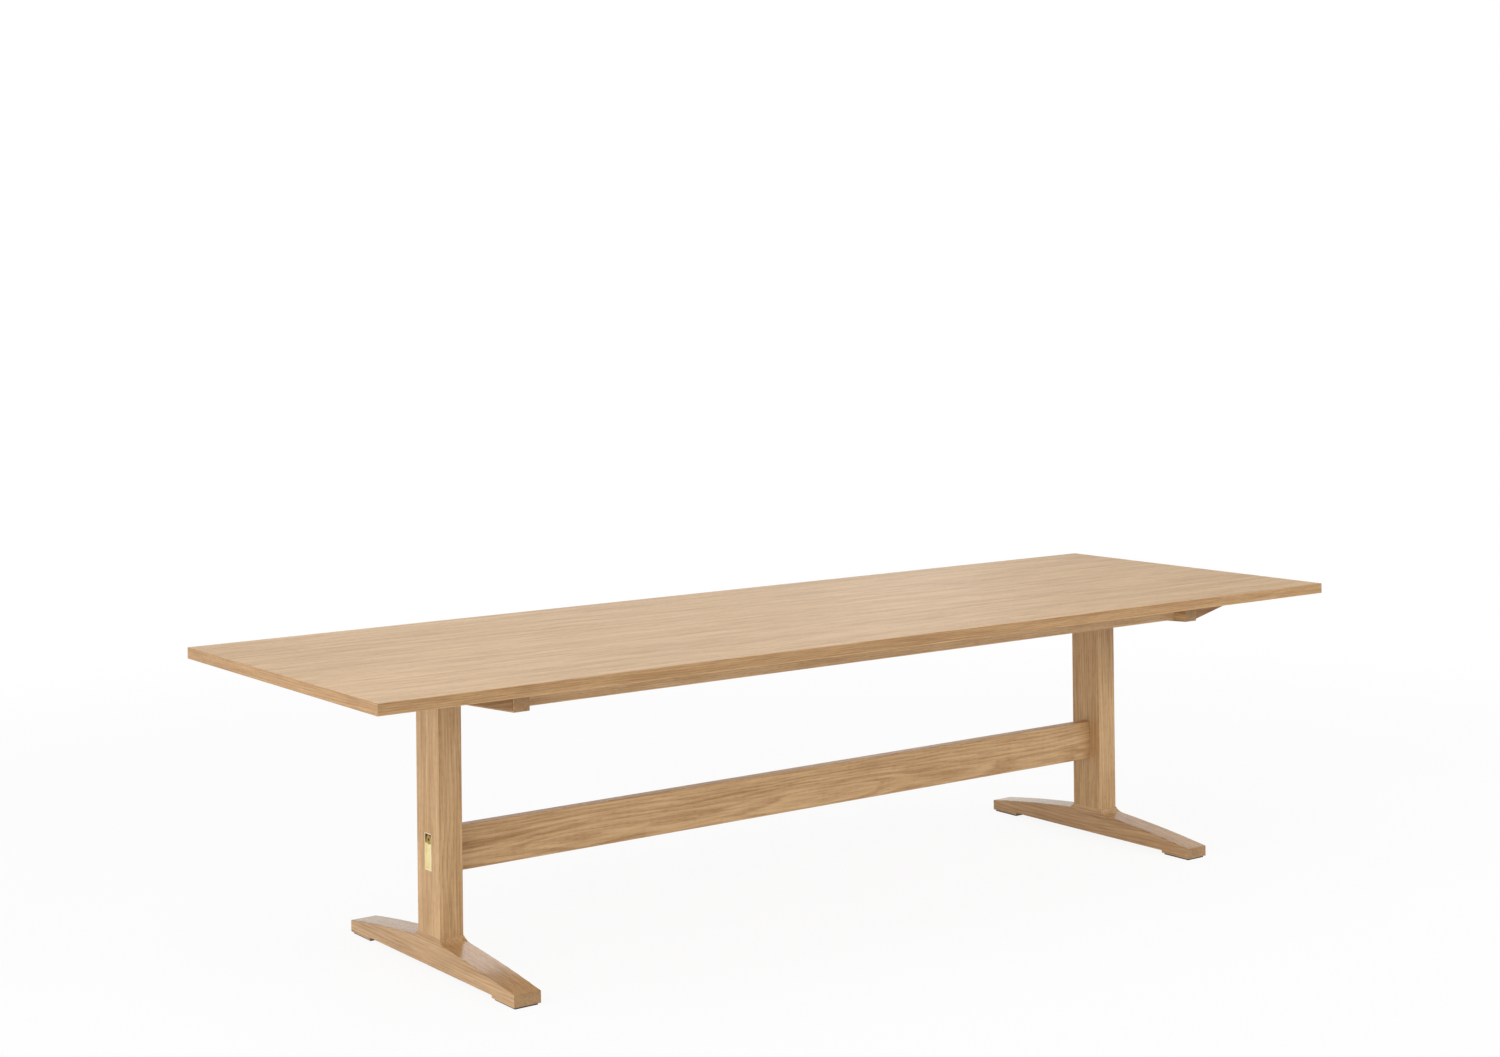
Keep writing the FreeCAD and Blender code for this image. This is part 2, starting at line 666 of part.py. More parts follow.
def check_and_write():
    """Stop on any failed feature or bad shape, then write one file for each piece."""
    for item in doc.Objects:
        if "Invalid" in item.State or "Error" in item.State:
            raise RuntimeError(f"{item.Label} failed to build")
    for body in bodies:
        if body.Shape.isNull() or not body.Shape.isValid():
            raise RuntimeError(f"{body.Label} has no valid shape")
    os.makedirs("parts", exist_ok=True)
    for body in bodies:
        body.Shape.exportStep(f"parts/{body.Label}.step")
        print(body.Label, len(body.Shape.Solids), "solids", round(body.Shape.Volume / 1000), "cm3")


build_table()
check_and_write()
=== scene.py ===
"""Looks of an oak trestle dining table: oak, brass, steel, black glides, a white studio and a camera.

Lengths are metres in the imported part's own frame: X along the table, Y from its front to its back, Z up.
"""
import logging
import math
from dataclasses import dataclass
from enum import Enum
from typing import Any, Mapping, Optional, Union

import bpy
import numpy as np
from mathutils import Euler, Matrix, Vector


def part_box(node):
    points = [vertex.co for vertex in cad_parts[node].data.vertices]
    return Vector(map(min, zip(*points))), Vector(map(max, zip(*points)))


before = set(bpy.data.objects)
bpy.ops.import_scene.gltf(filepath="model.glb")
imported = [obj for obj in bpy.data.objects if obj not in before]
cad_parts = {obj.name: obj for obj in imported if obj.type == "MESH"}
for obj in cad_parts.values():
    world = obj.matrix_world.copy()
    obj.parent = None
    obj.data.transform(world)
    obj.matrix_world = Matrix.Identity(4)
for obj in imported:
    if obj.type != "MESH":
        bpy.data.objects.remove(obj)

log = logging.getLogger("trestle_table")

Point = tuple[float, float, float]
Pair = tuple[float, float]
Colour = tuple[float, float, float, float]
Operand = Union["Value", float]

MM = 0.001
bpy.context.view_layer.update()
# The two ends of the table, each with the sign of its X, and its two long sides
SIDES = {"left": -1.0, "right": 1.0}
EDGES = ("front", "back")
# The value about which noise swings
NOISE_MIDDLE = 0.5
# The strength at which a white glow or background shows as plain white
FULL_WHITE = 1.0
# Places of the factor, the two colours and the mixed colour among a Mix node's sockets
MIX_FACTOR, MIX_FIRST, MIX_SECOND, MIX_RESULT = 0, 6, 7, 2


def srgb(red: int, green: int, blue: int) -> Colour:
    """Turn a display colour of 0 to 255 into the linear colour that a shader takes.

    The numbers are those of the sRGB curve: a straight line near black, and a power above it.

    Args:
        red: Red part.
        green: Green part.
        blue: Blue part.

    Returns:
        The linear colour with full alpha.
    """
    parts = np.array([red, green, blue]) / 255.0
    linear = np.where(parts <= 0.04045, parts / 12.92, ((parts + 0.055) / 1.055) ** 2.4)
    return (float(linear[0]), float(linear[1]), float(linear[2]), 1.0)


WHITE = srgb(255, 255, 255)


class Slot(Enum):
    """The material slots of the part's record."""

    OAK = "oak"
    OAK_VENEER = "oak_veneer"
    BOARD = "board"
    BRASS = "brass"
    STEEL = "steel"
    GLIDE = "glide"


class Grain(Enum):
    """The axis that the wood's fibres follow, as the turn that lays it along the pattern's first axis."""

    LENGTHWAYS = (0.0, 0.0, 0.0)
    CROSSWAYS = (0.0, 0.0, -math.pi / 2)
    UPRIGHT = (0.0, math.pi / 2, 0.0)

    def turned(self, point: Vector) -> Vector:
        """Give a point's places along, across and through the fibres."""
        return Euler(self.value).to_matrix() @ point


class Value:
    """One output of a shader node, on which Python's arithmetic adds Math nodes."""

    def __init__(self, graph: "Graph", node: bpy.types.Node, output: Union[str, int] = 0) -> None:
        """Point at one output of a node.

        Args:
            graph: The nodes that it belongs to.
            node: The node.
            output: The output's name or place.
        """
        self.graph = graph
        self.node = node
        self.output = output

    def __getitem__(self, output: Union[str, int]) -> "Value":
        """Point at another output of the same node, by its name or place."""
        return Value(self.graph, self.node, output)

    @property
    def socket(self) -> bpy.types.NodeSocket:
        """Give the socket that links start from."""
        return self.node.outputs[self.output]

    def math(self, operation: str, *operands: Operand) -> "Value":
        """Add a Math node with these inputs, values or numbers, and give its result."""
        return self.graph.add("ShaderNodeMath", {"operation": operation}, dict(enumerate(operands)))

    def __add__(self, other: Operand) -> "Value":
        """Add."""
        return self.math("ADD", self, other)

    def __sub__(self, other: Operand) -> "Value":
        """Subtract."""
        return self.math("SUBTRACT", self, other)

    def __rsub__(self, other: Operand) -> "Value":
        """Subtract from a number."""
        return self.math("SUBTRACT", other, self)

    def __mul__(self, other: Operand) -> "Value":
        """Multiply."""
        return self.math("MULTIPLY", self, other)

    def __truediv__(self, other: Operand) -> "Value":
        """Divide."""
        return self.math("DIVIDE", self, other)

    def __rtruediv__(self, other: Operand) -> "Value":
        """Divide a number by the value."""
        return self.math("DIVIDE", other, self)

    def __abs__(self) -> "Value":
        """Drop the sign."""
        return self.math("ABSOLUTE", self)

    __radd__ = __add__
    __rmul__ = __mul__

    def root(self) -> "Value":
        """Take the square root."""
        return self.math("SQRT", self)

    def fraction(self) -> "Value":
        """Keep what is past the whole number."""
        return self.math("FRACT", self)

    def larger(self, other: Operand) -> "Value":
        """Take the larger of two values."""
        return self.math("MAXIMUM", self, other)

    def rise(self, low: float, high: float) -> "Value":
        """Rise smoothly from 0 at the low value to 1 at the high one."""
        limits = {"Value": self, "From Min": low, "From Max": high}
        return self.graph.add("ShaderNodeMapRange", {"interpolation_type": "SMOOTHSTEP"}, limits)


class Graph:
    """The nodes of one material or of the world."""

    def __init__(self, owner: Union[bpy.types.Material, bpy.types.World]) -> None:
        """Empty the owner's node tree.

        Args:
            owner: The material or world whose nodes are made.
        """
        owner.use_nodes = True
        self.tree = owner.node_tree
        self.tree.nodes.clear()

    def add(self, kind: str, settings: Optional[Mapping[str, Any]] = None,
            inputs: Optional[Mapping[Union[str, int], Any]] = None) -> Value:
        """Add a node, set it up and link its inputs.

        Args:
            kind: The node's type.
            settings: The node's own settings, set first.
            inputs: Values, numbers or colours by the input's name or place.

        Returns:
            The node, pointing at its first output.
        """
        node = self.tree.nodes.new(kind)
        for name, setting in (settings or {}).items():
            setattr(node, name, setting)
        for name, given in (inputs or {}).items():
            if isinstance(given, Value):
                self.tree.links.new(given.socket, node.inputs[name])
            else:
                node.inputs[name].default_value = given
        return Value(self, node)

    def place(self) -> Value:
        """Give the place on the piece in the table's frame."""
        return self.add("ShaderNodeTexCoord")["Object"]

    def mix(self, factor: Operand, first: Union[Value, Colour], second: Union[Value, Colour]) -> Value:
        """Mix two colours, linked or fixed, with the factor as the share of the second."""
        inputs = {MIX_FACTOR: factor, MIX_FIRST: first, MIX_SECOND: second}
        return self.add("ShaderNodeMix", {"data_type": "RGBA"}, inputs)[MIX_RESULT]

    def bump(self, height: Value, strength: float, distance: float) -> Value:
        """Make a normal from a height of 0 to 1 that stands for a distance in metres."""
        inputs = {"Height": height, "Strength": strength, "Distance": distance}
        return self.add("ShaderNodeBump", {}, inputs)

    def blend(self, share: Operand, first: Value, second: Value) -> Value:
        """Mix two shaders by the share of the second."""
        return self.add("ShaderNodeMixShader", {}, {0: share, 1: first, 2: second})

    def surface(self, shader: Value) -> None:
        """Finish a material with its shader."""
        self.add("ShaderNodeOutputMaterial", {}, {"Surface": shader})

    def principled(self, **inputs: Any) -> None:
        """Finish a material with a Principled shader, its inputs named with underscores for spaces."""
        named = {name.replace("_", " "): given for name, given in inputs.items()}
        self.surface(self.add("ShaderNodeBsdfPrincipled", {}, named))


@dataclass(frozen=True)
class Pattern:
    """Smooth noise, drawn out by its count of cells per metre along each axis.

    With limits it rises smoothly from 0 at the first to 1 at the second. Without them it swings about its
    middle value.
    """

    cells: Point
    layers: float = 2.0
    roughness: float = 0.5
    limits: Optional[Pair] = None

    def draw(self, graph: Graph, place: Value) -> Value:
        """Draw the pattern.

        Args:
            graph: The material's nodes.
            place: The coordinates.

        Returns:
            The pattern, from 0 to 1.
        """
        scaled = graph.add("ShaderNodeVectorMath", {"operation": "MULTIPLY"}, {0: place, 1: self.cells})
        noise = graph.add("ShaderNodeTexNoise", {}, {"Vector": scaled, "Scale": 1.0, "Detail": self.layers,
                                                     "Roughness": self.roughness})
        return noise.rise(*self.limits) if self.limits else noise


def dress(node: str, material: bpy.types.Material) -> None:
    """Give a CAD piece its finish.

    Args:
        node: The piece's name.
        material: Its finish.
    """
    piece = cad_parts[node]
    piece.data.materials.clear()
    piece.data.materials.append(material)
    log.info("dressed %s in %s", node, material.name)


@dataclass(frozen=True)
class OakFinish:
    """Natural oak under a thin satin lacquer, cut out of a log whose heart lies beside the piece.

    The year rings are circles about the heart, bent by slow noise: the ring's number is the distance from
    the heart divided by the ring's width. Each ring opens with coarse early wood full of dark pores.
    Streaks, threads, fibres and pores are noise drawn out along the fibres, with few cells along them and
    many across.
    """

    grain: Grain
    # From the middle of the piece to the heart of the log, across and through the fibres
    heart: Pair
    # How far along the log the piece was cut
    start: float
    pale: Colour = srgb(213, 178, 133)
    deep: Colour = srgb(164, 125, 81)
    pore: Colour = srgb(118, 84, 50)
    ring_width: float = 5.0 * MM
    # How far slow noise bends the rings, its share through the piece, and how far they flutter
    sway: float = 50.0 * MM
    sway_pattern: Pattern = Pattern((1.1, 2.5, 2.5))
    sway_slant: float = 0.6
    flutter: float = 16.0 * MM
    flutter_pattern: Pattern = Pattern((1.5, 28.0, 28.0))
    # Shares of a ring's width at which its early wood is at its fullest and has ended
    ring_opening: float = 0.2
    early_wood: float = 0.9
    streaks: Pattern = Pattern((2.2, 42.0, 42.0), 3.0, 0.66, (0.32, 0.7))
    threads: Pattern = Pattern((9.0, 210.0, 210.0), 2.0, 0.6, (0.34, 0.66))
    fibres: Pattern = Pattern((12.0, 800.0, 800.0), 2.0, 0.6)
    clouds: Pattern = Pattern((0.9, 6.0, 6.0))
    dashes: Pattern = Pattern((45.0, 1500.0, 1500.0), 1.0)
    # How much the early wood adds to the dashes, and the sum from which a pore opens
    pore_crowding: float = 0.1
    pore_limits: Pair = (0.6, 0.72)
    # How squarely a face has to cross the fibres to count as end grain
    end_limits: Pair = (0.8, 0.95)
    # Shares of each pattern in the deep colour, less a share that stays pale
    ring_share: float = 0.22
    streak_share: float = 0.4
    thread_share: float = 0.36
    fibre_share: float = 0.14
    cloud_share: float = 0.3
    pale_share: float = 0.2
    pore_share: float = 0.4
    end_share: float = 0.4
    lacquer: float = 0.4
    lacquer_ior: float = 1.42
    fibre_roughness: float = 0.12
    pore_roughness: float = 0.2
    # Share of the relief that is pores, the rest being fibres, and its height
    pore_relief: float = 0.8
    relief: float = 0.15 * MM
    relief_strength: float = 0.25

    def dress(self, node: str, slot: Slot = Slot.OAK) -> None:
        """Dress a piece in oak of its own.

        Args:
            node: The piece's name.
        """
        low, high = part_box(node)
        middle = self.grain.turned((Vector(low) + Vector(high)) / 2)
        heart = (middle.y + self.heart[0], middle.z + self.heart[1])
        dress(node, self.material(f"oak_{node}", heart))

    def material(self, name: str, heart: Pair) -> bpy.types.Material:
        """Make the material.

        Args:
            name: The material's name.
            heart: Where the heart lies, across and through the fibres.

        Returns:
            The oak.
        """
        made = bpy.data.materials.new(name)
        graph = Graph(made)
        place = graph.add("ShaderNodeMapping", {}, {"Vector": graph.place(), "Rotation": self.grain.value,
                                                    "Location": (self.start, 0.0, 0.0)})
        rings = self.rings(graph, place, heart)
        pores = (self.dashes.draw(graph, place) + rings * self.pore_crowding).rise(*self.pore_limits)
        streaks, threads, fibres, clouds = (pattern.draw(graph, place) for pattern in
                                            (self.streaks, self.threads, self.fibres, self.clouds))

        figure = rings * self.ring_share + streaks * self.streak_share + threads * self.thread_share
        depth = figure + fibres * self.fibre_share + clouds * self.cloud_share - self.pale_share
        wood = graph.mix(depth, self.pale, self.deep)
        dark = (pores * self.pore_share).larger(self.ends(graph) * self.end_share)
        uneven = (fibres - NOISE_MIDDLE) * self.fibre_roughness + pores * self.pore_roughness
        height = 1.0 - pores * self.pore_relief - fibres * (1.0 - self.pore_relief)
        graph.principled(Base_Color=graph.mix(dark, wood, self.pore), Roughness=uneven + self.lacquer,
                         IOR=self.lacquer_ior, Normal=graph.bump(height, self.relief_strength, self.relief))
        return made

    def ends(self, graph: Graph) -> Value:
        """Find the end grain, which drinks more lacquer and looks darker.

        Args:
            graph: The material's nodes.

        Returns:
            1 on a face square to the fibres and 0 on one along them.
        """
        facing = graph.add("ShaderNodeTexCoord")["Normal"]
        turned = graph.add("ShaderNodeMapping", {"vector_type": "NORMAL"},
                           {"Vector": facing, "Rotation": self.grain.value})
        along = graph.add("ShaderNodeSeparateXYZ", {}, {0: turned})["X"]
        return abs(along).rise(*self.end_limits)

    def rings(self, graph: Graph, place: Value, heart: Pair) -> Value:
        """Draw the year rings.

        Args:
            graph: The material's nodes.
            place: Coordinates with the fibres along the first axis.
            heart: Where the heart lies, across and through the fibres.

        Returns:
            1 in the early wood of each ring, falling to 0 at its start and towards its end.
        """
        split = graph.add("ShaderNodeSeparateXYZ", {}, {0: place})
        sway = (self.sway_pattern.draw(graph, place) - NOISE_MIDDLE) * self.sway
        flutter = (self.flutter_pattern.draw(graph, place) - NOISE_MIDDLE) * self.flutter
        side = split["Y"] - heart[0] + sway
        back = split["Z"] - heart[1] + sway * self.sway_slant
        age = (((side * side + back * back).root() + flutter) / self.ring_width).fraction()
        return age.rise(0.0, self.ring_opening) * (1.0 - age.rise(self.ring_opening, self.early_wood))


@dataclass(frozen=True)
class MetalFinish:
    """Bare metal with fine brushed lines, a little uneven in colour and gloss."""

    name: str
    colour: Colour
    worn: Colour
    roughness: float
    lines: Pattern
    wear: Pattern = Pattern((90.0, 90.0, 90.0))
    worn_limits: Pair = (0.35, 0.75)
    worn_share: float = 0.6
    line_roughness: float = 0.14
    wear_roughness: float = 0.1
    line_depth: float = 0.05 * MM
    line_strength: float = 0.08

    def material(self) -> bpy.types.Material:
        """Make the material.

        Returns:
            The metal.
        """
        made = bpy.data.materials.new(self.name)
        graph = Graph(made)
        place = graph.place()
        lines = self.lines.draw(graph, place)
        wear = self.wear.draw(graph, place)
        colour = graph.mix(wear.rise(*self.worn_limits) * self.worn_share, self.colour, self.worn)
        line_gloss = (lines - NOISE_MIDDLE) * self.line_roughness
        wear_gloss = (wear - NOISE_MIDDLE) * self.wear_roughness
        graph.principled(Base_Color=colour, Metallic=1.0,
                         Roughness=line_gloss + wear_gloss + self.roughness,
                         Normal=graph.bump(lines, self.line_strength, self.line_depth))
        return made


@dataclass(frozen=True)
class GlideFinish:
    """Black moulded plastic with a fine sparked texture and a little dust."""

    name: str = "glide_black"
    colour: Colour = srgb(26, 25, 24)
    dust_colour: Colour = srgb(62, 59, 55)
    sparks: Pattern = Pattern((1800.0, 1800.0, 1800.0))
    dust: Pattern = Pattern((40.0, 40.0, 40.0), 3.0, 0.5, (0.5, 0.8))
    dust_share: float = 0.4
    roughness: float = 0.6
    spark_roughness: float = 0.2
    spark_depth: float = 0.05 * MM
    spark_strength: float = 0.2

    def material(self) -> bpy.types.Material:
        """Make the material.

        Returns:
            The plastic.
        """
        made = bpy.data.materials.new(self.name)
        graph = Graph(made)
        place = graph.place()
        sparks = self.sparks.draw(graph, place)
        dust = self.dust.draw(graph, place) * self.dust_share
        graph.principled(Base_Color=graph.mix(dust, self.colour, self.dust_colour),
                         Roughness=(sparks - NOISE_MIDDLE) * self.spark_roughness + self.roughness,
                         Normal=graph.bump(sparks, self.spark_strength, self.spark_depth))
        return made


@dataclass(frozen=True)
class BoardFinish:
    """Raw pressed board of the top's core, flecked with wood chips."""

    name: str = "raw_board"
    colour: Colour = srgb(190, 160, 120)
    chip_colour: Colour = srgb(150, 118, 80)
    chips: Pattern = Pattern((260.0, 420.0, 700.0), 3.0, 0.7)
    chip_limits: Pair = (0.4, 0.65)
    roughness: float = 0.85
    chip_depth: float = 0.2 * MM
    chip_strength: float = 0.3

    def material(self) -> bpy.types.Material:
        """Make the material.

        Returns:
            The board.
        """
        made = bpy.data.materials.new(self.name)
        graph = Graph(made)
        chips = self.chips.draw(graph, graph.place())
        graph.principled(Base_Color=graph.mix(chips.rise(*self.chip_limits), self.colour, self.chip_colour),
                         Roughness=self.roughness,
                         Normal=graph.bump(chips, self.chip_strength, self.chip_depth))
        return made


@dataclass
class Top:
    """The veneered top with its solid edges, a shade deeper than the veneer."""

    veneer_heart: Pair = (2.4, 0.17)
    veneer_start: float = 0.4
    underside_heart: Pair = (0.2, 0.2)
    underside_start: float = 7.0
    veneer_ring: float = 9.0 * MM
    veneer_ring_share: float = 0.14
    veneer_sway: float = 30.0 * MM
    veneer_pore_share: float = 0.3
    veneer_lacquer: float = 0.48
    edge_heart: Pair = (0.0, -1.0)
    edge_start: float = 3.0
    edge_pale: Colour = srgb(194, 156, 111)
    edge_deep: Colour = srgb(150, 111, 70)

    def dress(self) -> None:
        """Lay the grain along the top and along each edge."""
        self.veneer(self.veneer_heart, self.veneer_start).dress("top_veneer", Slot.OAK_VENEER)
        self.veneer(self.underside_heart, self.underside_start).dress("underside_veneer", Slot.OAK_VENEER)
        grains = {**dict.fromkeys(EDGES, Grain.LENGTHWAYS), **dict.fromkeys(SIDES, Grain.CROSSWAYS)}
        for edge, grain in grains.items():
            lipping = OakFinish(grain, self.edge_heart, self.edge_start,
                                pale=self.edge_pale, deep=self.edge_deep)
            lipping.dress(f"lipping_{edge}")
        dress("top_core", BoardFinish().material())

    def veneer(self, heart: Pair, start: float) -> OakFinish:
        """Choose a sheet of veneer.

        Args:
            heart: From the sheet's middle to the heart of its log.
            start: How far along the log it was cut.

        Returns:
            The veneer's finish.
        """
        return OakFinish(Grain.LENGTHWAYS, heart, start, ring_width=self.veneer_ring, sway=self.veneer_sway,
                         ring_share=self.veneer_ring_share, pore_share=self.veneer_pore_share,
                         lacquer=self.veneer_lacquer)


@dataclass
class Underframe:
    """The bearers, rails and brackets under the top."""

    bearer_heart: Pair = (1.13, -0.27)
    bearer_start: float = 2.0
    bracket_heart: Pair = (0.45, -0.18)
    bracket_start: float = 4.0
    # The brackets' oak is darker than the other oak: painted shade that the top casts on their faces
    bracket_shaded_pale: Colour = srgb(186, 147, 102)
    bracket_shaded_deep: Colour = srgb(140, 101, 62)
    rail_heart: Pair = (0.11, -0.23)
    rail_start: float = 6.0
    # The rails' oak is lighter than the other oak: painted light on their faces under the top
    rail_lit_pale: Colour = srgb(226, 192, 148)
    rail_lit_deep: Colour = srgb(182, 143, 98)

    def dress(self) -> None:
        """Lay the grain along each piece, with left and right ones cut from different places of a log."""
        across, through = self.bearer_heart
        for side, sign in SIDES.items():
            bearer = OakFinish(Grain.CROSSWAYS, (sign * across, through), self.bearer_start + sign)
            bearer.dress(f"bearer_{side}")
            # The brackets' darker colours paint the shade that the top casts on them
            bracket = OakFinish(Grain.LENGTHWAYS, self.bracket_heart, self.bracket_start + sign,
                                pale=self.bracket_shaded_pale, deep=self.bracket_shaded_deep)
            for edge in EDGES:
                bracket.dress(f"bracket_{edge}_{side}")
        # The rails' lighter colours paint light on their faces under the top
        rail = OakFinish(Grain.LENGTHWAYS, self.rail_heart, self.rail_start,
                         pale=self.rail_lit_pale, deep=self.rail_lit_deep)
        for edge in EDGES:
            rail.dress(f"rail_{edge}")


@dataclass
class Trestles:
    """The feet, posts and stretcher."""

    post_heart: Pair = (0.09, 0.0875)
    post_start: float = 1.5
    foot_heart: Pair = (0.82, -0.64)
    foot_start: float = 3.3
    foot_ring_share: float = 0.2
    foot_sway: float = 20.0 * MM
    foot_pale: Colour = srgb(206, 170, 125)
    foot_deep: Colour = srgb(157, 118, 76)
    foot_lacquer: float = 0.2
    stretcher_heart: Pair = (0.09, -0.0335)
    stretcher_start: float = 0.3
    stretcher_ring_share: float = 0.26
    stretcher_sway: float = 60.0 * MM

    def dress(self) -> None:
        """Lay the grain along each piece, with the heart of a post or foot on its outer side."""
        for side, sign in SIDES.items():
            across, through = self.post_heart
            post = OakFinish(Grain.UPRIGHT, (across, -sign * through), self.post_start + sign)
            post.dress(f"post_{side}")
            across, through = self.foot_heart
            foot = OakFinish(Grain.CROSSWAYS, (-sign * across, through), self.foot_start + sign,
                             pale=self.foot_pale, deep=self.foot_deep, sway=self.foot_sway,
                             ring_share=self.foot_ring_share, lacquer=self.foot_lacquer)
            foot.dress(f"foot_{side}")
        stretcher = OakFinish(Grain.LENGTHWAYS, self.stretcher_heart, self.stretcher_start,
                              sway=self.stretcher_sway, ring_share=self.stretcher_ring_share)
        stretcher.dress("stretcher")


@dataclass
class Fittings:
    """The brass pockets, bolts, nuts, screws and glides."""

    # The pocket's brass is paler than brass, towards cream: brass colour with a painted highlight of the
    # lamps in the pocket
    brass: MetalFinish = MetalFinish("brushed_brass", srgb(253, 246, 218), srgb(248, 234, 192), 0.24,
                                     Pattern((900.0, 900.0, 40.0), 2.0, 0.6))
    # The bolts' and washers' brass is darker than the pocket's: painted shade and dark reflection inside
    # the pocket
    shaded_brass: MetalFinish = MetalFinish("shaded_brass", srgb(176, 146, 74), srgb(150, 120, 56), 0.36,
                                          Pattern((900.0, 900.0, 900.0), 2.0, 0.6))
    steel: MetalFinish = MetalFinish("zinc_steel", srgb(176, 178, 182), srgb(150, 150, 152), 0.34,
                                     Pattern((400.0, 400.0, 60.0), 2.0, 0.6))
    plastic: GlideFinish = GlideFinish()

    def dress(self) -> None:
        """Finish the metal and the glides."""
        finishes = (self.brass, self.shaded_brass, self.steel, self.plastic)
        brass, shaded_brass, steel, plastic = (finish.material() for finish in finishes)
        for side in SIDES:
            dress(f"brass_pocket_{side}", brass)
            # Bolt and washer take the darker brass, which paints the shade inside the pocket
            dress(f"stretcher_bolt_{side}", shaded_brass)
            dress(f"bolt_washer_{side}", shaded_brass)
            dress(f"barrel_nut_{side}", steel)
            for edge in EDGES:
                dress(f"glide_{edge}_{side}", plastic)
        for kind in ("bearer", "rail", "bracket", "glide"):
            dress(f"{kind}_screws", steel)


@dataclass(frozen=True)
class Lamp:
    """A soft rectangular lamp, with its width and height in metres and its power in watts."""

    name: str
    place: Point
    target: Point
    size: Pair
    power: float
    # Whether lacquer and metal mirror the lamp
    mirrored: bool = True

    def hang(self) -> None:
        """Hang the lamp in its place and point it at its target."""
        light = bpy.data.lights.new(self.name, "AREA")
        light.shape = "RECTANGLE"
        light.size, light.size_y = self.size
        light.energy = self.power
        hung = bpy.data.objects.new(self.name, light)
        bpy.context.scene.collection.objects.link(hung)
        hung.location = self.place
        aim = Vector(self.target) - Vector(self.place)
        hung.rotation_euler = aim.to_track_quat("-Z", "Y").to_euler()
        hung.visible_glossy = self.mirrored
        log.info("hung lamp %s", self.name)


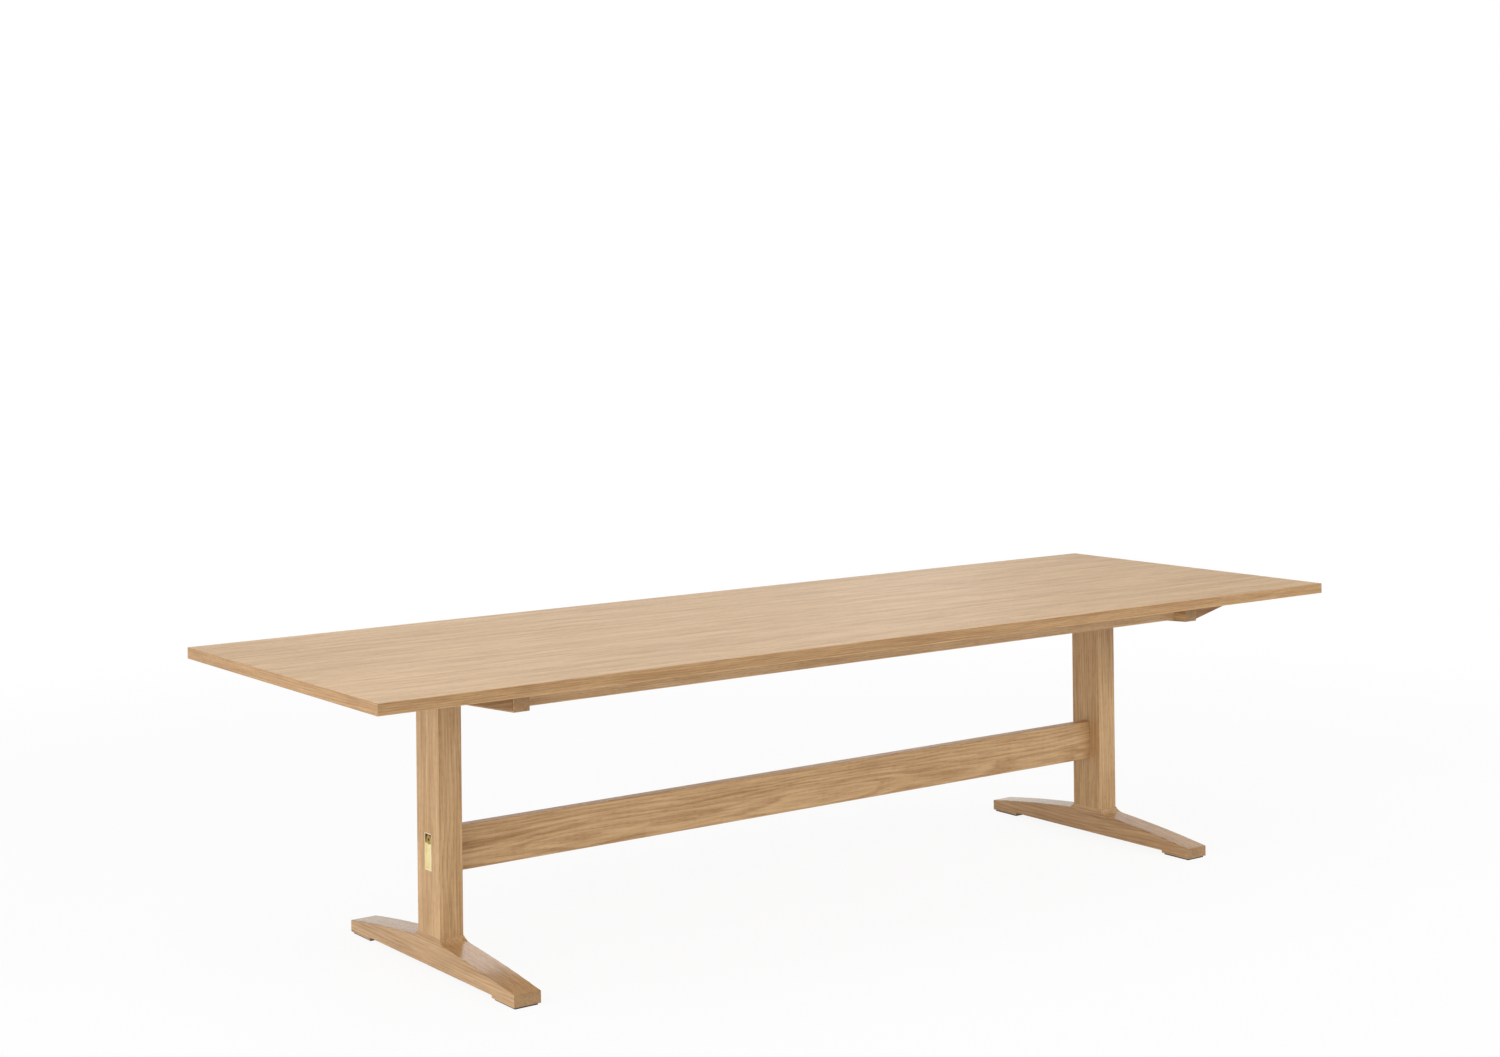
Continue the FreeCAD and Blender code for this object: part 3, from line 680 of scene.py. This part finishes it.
@dataclass
class Studio:
    """A white room with soft lamps."""

    floor_size: float = 60.0
    floor_paint: Colour = srgb(246, 246, 246)
    # Light that the room throws on the table, and the share of white in the floor near the table
    ambient: float = 0.34
    floor_glow: float = 0.91
    # Distances at which the floor starts to turn, and has turned, wholly white
    shadow_reach: Pair = (2.4, 5.0)
    lamps: tuple[Lamp, ...] = (
        Lamp("left_window", (-4.3, -0.4, 3.0), (-0.8, 0.0, 0.2), (3.0, 2.2), 52.0),
        Lamp("low_left_window", (-9.0, -2.6, 1.6), (0.6, 0.0, 0.35), (8.0, 3.0), 345.0, mirrored=False),
        Lamp("front_right_window", (2.7, -4.5, 3.2), (0.5, 0.0, 0.3), (6.0, 3.0), 166.0, mirrored=False),
        Lamp("ceiling", (-0.6, 0.4, 4.2), (0.0, 0.0, 0.7), (5.0, 3.0), 40.0),
        Lamp("back_panel", (4.5, 4.7, 1.5), (0.5, 0.2, 0.73), (0.8, 1.3), 4.0),
        Lamp("back_right_window", (2.9, 4.7, 3.7), (-0.2, -0.2, 0.1), (4.6, 1.6), 40.0),
    )

    def build(self) -> None:
        """Make the floor, the world and the lamps."""
        bpy.context.scene.view_settings.view_transform = "Standard"
        self.floor()
        self.world()
        for lamp in self.lamps:
            lamp.hang()

    def seen(self, graph: Graph) -> Value:
        """Give 1 for a ray of sight, gloss or glass, which shows the white room, and 0 for any other."""
        path = graph.add("ShaderNodeLightPath")
        return path["Is Camera Ray"].larger(path["Is Glossy Ray"]).larger(path["Is Transmission Ray"])

    def floor(self) -> None:
        """Lay a pale floor that looks white and keeps a soft shadow."""
        half = self.floor_size / 2
        corners = np.array([(-1, -1, 0), (1, -1, 0), (1, 1, 0), (-1, 1, 0)]) * half
        mesh = bpy.data.meshes.new("studio_floor")
        mesh.from_pydata(corners.tolist(), [], [(0, 1, 2, 3)])
        ground = bpy.data.objects.new("studio_floor", mesh)
        bpy.context.scene.collection.objects.link(ground)
        material = bpy.data.materials.new("studio_floor")
        graph = Graph(material)
        paint = graph.add("ShaderNodeBsdfDiffuse", {}, {"Color": self.floor_paint})
        glow = graph.add("ShaderNodeEmission", {}, {"Color": WHITE, "Strength": FULL_WHITE})
        away = graph.add("ShaderNodeVectorMath", {"operation": "LENGTH"}, {0: graph.place()})["Value"]
        share = away.rise(*self.shadow_reach) * (1.0 - self.floor_glow) + self.floor_glow
        graph.surface(graph.blend(self.seen(graph) * share, paint, glow))
        mesh.materials.append(material)

    def world(self) -> None:
        """Surround the table with white that lights it only softly."""
        world = bpy.data.worlds.new("white_room")
        bpy.context.scene.world = world
        graph = Graph(world)
        soft, white = (graph.add("ShaderNodeBackground", {}, {"Color": WHITE, "Strength": strength})
                       for strength in (self.ambient, FULL_WHITE))
        graph.add("ShaderNodeOutputWorld", {}, {"Surface": graph.blend(self.seen(graph), soft, white)})


@dataclass
class PhotographCamera:
    """The camera at the photograph's place, its focal length and optical axis in pixels of the picture."""

    picture: tuple[int, int] = (1500, 1057)
    eye: Point = (-3.780863, -4.686453, 1.586301)
    yaw: float = math.radians(34.805)
    pitch: float = math.radians(0.149)
    roll: float = math.radians(0.641)
    focal_pixels: float = 2303.949
    axis_pixel: Pair = (630.0, 280.0)
    sensor: float = 36.0

    def build(self) -> None:
        """Put the camera in its place and look through it.

        The lens and the shift follow from the focal length and the optical axis.
        """
        width, height = self.picture
        data = bpy.data.cameras.new("photograph")
        data.sensor_fit = "HORIZONTAL"
        data.sensor_width = self.sensor
        data.lens = self.focal_pixels * self.sensor / width
        data.shift_x = (width / 2 - self.axis_pixel[0]) / width
        data.shift_y = (self.axis_pixel[1] - height / 2) / width
        holder = bpy.data.objects.new("photograph", data)
        bpy.context.scene.collection.objects.link(holder)
        holder.location = self.eye
        holder.rotation_euler = self.turn().to_euler()
        bpy.context.scene.camera = holder

    def turn(self) -> Matrix:
        """Work out the camera's turn from yaw about the vertical, pitch above the horizon and roll.

        Returns:
            The rotation whose columns are the picture's right, its up and the reverse of the sight.
        """
        level = np.array([math.cos(self.yaw), -math.sin(self.yaw), 0.0])
        ahead = np.array([math.sin(self.yaw), math.cos(self.yaw), 0.0])
        sight = math.cos(self.pitch) * ahead + math.sin(self.pitch) * np.array([0.0, 0.0, 1.0])
        down = np.cross(sight, level)
        right = math.cos(self.roll) * level + math.sin(self.roll) * down
        upward = math.sin(self.roll) * level - math.cos(self.roll) * down
        return Matrix(np.column_stack([right, upward, -sight]).tolist())


def main() -> None:
    """Dress the table, and build the studio and the camera."""
    logging.basicConfig(level=logging.INFO, format="%(name)s: %(message)s")
    for assembly in (Top(), Underframe(), Trestles(), Fittings()):
        assembly.dress()
    Studio().build()
    PhotographCamera().build()


if __name__ == "__main__":
    main()
